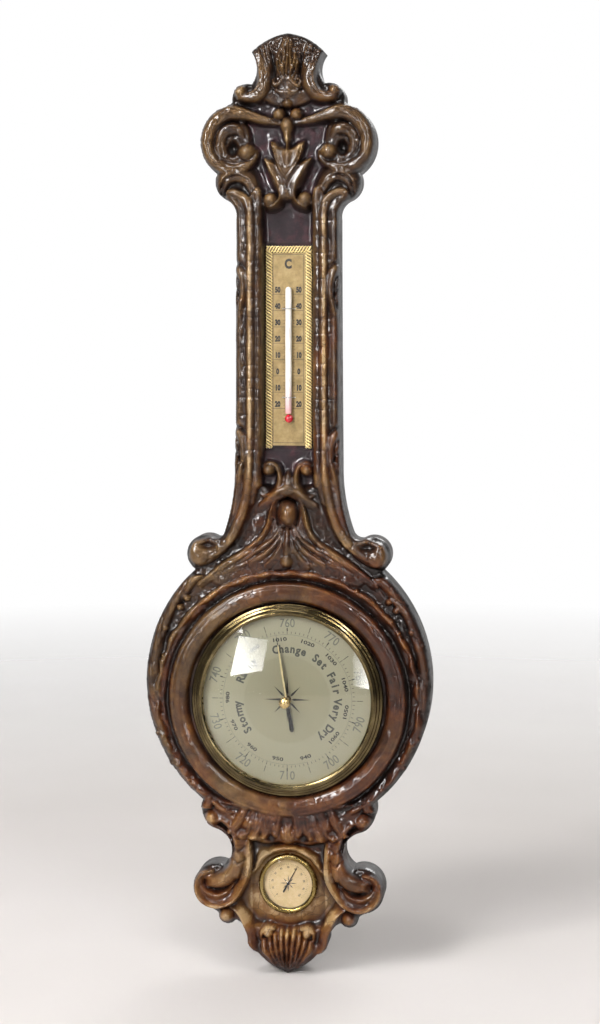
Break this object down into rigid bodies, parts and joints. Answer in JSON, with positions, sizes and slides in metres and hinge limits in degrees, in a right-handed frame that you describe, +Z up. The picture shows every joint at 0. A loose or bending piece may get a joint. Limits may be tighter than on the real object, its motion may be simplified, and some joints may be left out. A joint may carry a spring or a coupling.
{
  "type": "wall barometer",
  "caption": "Carved wooden wall barometer with a round aneroid dial, a thermometer in the neck and a small hygrometer in the foot.",
  "frame": {"origin": "the point of the hanger slot that rests on the wall hook, in the wall plane", "axes": "+Z up, the front faces -Y, the wall is the plane y = 0, +X to the viewer's right"},
  "size_m": [0.2156, 0.0486, 0.7045],
  "materials": {
    "varnished_wood": "dark glossy varnish, bronze on the high places",
    "steel": "plain turned steel",
    "plate_metal": "beige gold brushed plate",
    "enamelled_glass": "clear glass with a white enamel back",
    "red_spirit": "red spirit in a glass bulb",
    "gold_cord": "twisted gold cord",
    "brass": "polished, a little tarnished",
    "clear_glass": "clear domed glass",
    "silvered_dial": "silvered, printed",
    "cream_dial": "cream printed card",
    "black_steel": "black lacquer",
    "tinned_steel": "tinned sheet",
    "coil_paper": "coated strip"
  },
  "bodies": {
    "case": {"case_body": "varnished_wood", "hanger_plate": "steel", "hanger_screw_upper": "steel", "hanger_screw_lower": "steel", "thermometer_plate": "plate_metal", "thermometer_stem": "enamelled_glass", "spirit_bulb": "red_spirit", "stem_clip_upper": "steel", "stem_clip_lower": "steel", "trim_cord_left": "gold_cord", "trim_cord_right": "gold_cord", "trim_cord_top": "gold_cord", "bezel_ring": "brass", "dial_glass": "clear_glass", "spacer_ring": "brass", "dial_plate": "silvered_dial", "movement_can": "tinned_steel", "movement_base": "brass", "base_screw_1": "steel", "base_screw_2": "steel", "base_screw_3": "steel", "train_plate": "brass", "pillar_1": "brass", "pillar_2": "brass", "pillar_3": "brass", "front_bridge": "brass", "bridge_post_1": "brass", "bridge_post_2": "brass", "bridge_post_3": "brass", "rocker_cheek_left": "brass", "rocker_cheek_right": "brass", "capsule_shell": "tinned_steel", "bow_spring": "steel", "hairspring": "steel", "hygro_bezel": "brass", "hygro_glass": "clear_glass", "hygro_can": "tinned_steel", "hygro_dial": "cream_dial", "hygro_coil": "coil_paper", "hygro_bridge": "brass"},
    "sector": {"toothed_sector": "brass"},
    "pointer": {"pointer_hand": "black_steel", "pointer_arbor": "steel"},
    "rocker": {"rocking_shaft": "steel"},
    "lever": {"main_lever": "steel"},
    "diaphragm": {"capsule_diaphragm": "tinned_steel"},
    "setting": {"set_hand": "brass", "set_knob": "brass"},
    "adjuster": {"adjusting_screw": "steel"},
    "hygro_pointer": {"hygro_hand": "black_steel", "hygro_arbor": "steel"}
  },
  "joints": [
    {"name": "sector_swing", "type": "hinge", "parent": "case", "child": "sector", "pos_m": [-0.02079, -0.0233, -0.422], "axis": [0, 1, 0], "range_deg": [-13.6, 18.8], "stiffness_Nm_per_rad": 0.05},
    {"name": "pointer_turn", "type": "hinge", "parent": "case", "child": "pointer", "pos_m": [0, -0.0334, -0.44], "axis": [0, 1, 0], "range_deg": [-188.5, 136.5]},
    {"name": "rocker_tilt", "type": "hinge", "parent": "case", "child": "rocker", "pos_m": [0, -0.015, -0.4235], "axis": [1, 0, 0], "range_deg": [-14, 19]},
    {"name": "lever_lift", "type": "hinge", "parent": "case", "child": "lever", "pos_m": [0.0025, -0.0182, -0.454], "axis": [1, 0, 0], "range_deg": [-1.7, 2.3]},
    {"name": "diaphragm_slide", "type": "slide", "parent": "case", "child": "diaphragm", "axis": [0, -1, 0], "range_m": [-0.0004, 0.00055]},
    {"name": "set_turn", "type": "hinge", "parent": "case", "child": "setting", "pos_m": [0, -0.0459, -0.44], "axis": [0, 1, 0], "continuous": true},
    {"name": "adjust_turn", "type": "hinge", "parent": "case", "child": "adjuster", "pos_m": [-0.027, -0.003, -0.462], "axis": [0, 1, 0], "range_deg": [-180, 180]},
    {"name": "hygro_turn", "type": "hinge", "parent": "case", "child": "hygro_pointer", "pos_m": [0, -0.0257, -0.579], "axis": [0, 1, 0], "range_deg": [-164, 106], "stiffness_Nm_per_rad": 0.0001}
  ],
  "couplings": [
    {"joint": "pointer_turn", "follows": "sector_swing", "ratio": -10},
    {"joint": "rocker_tilt", "follows": "sector_swing", "ratio": 0.98795},
    {"joint": "lever_lift", "follows": "sector_swing", "ratio": 0.11455},
    {"joint": "diaphragm_slide", "follows": "sector_swing", "m_per_rad": 0.0016036}
  ]
}
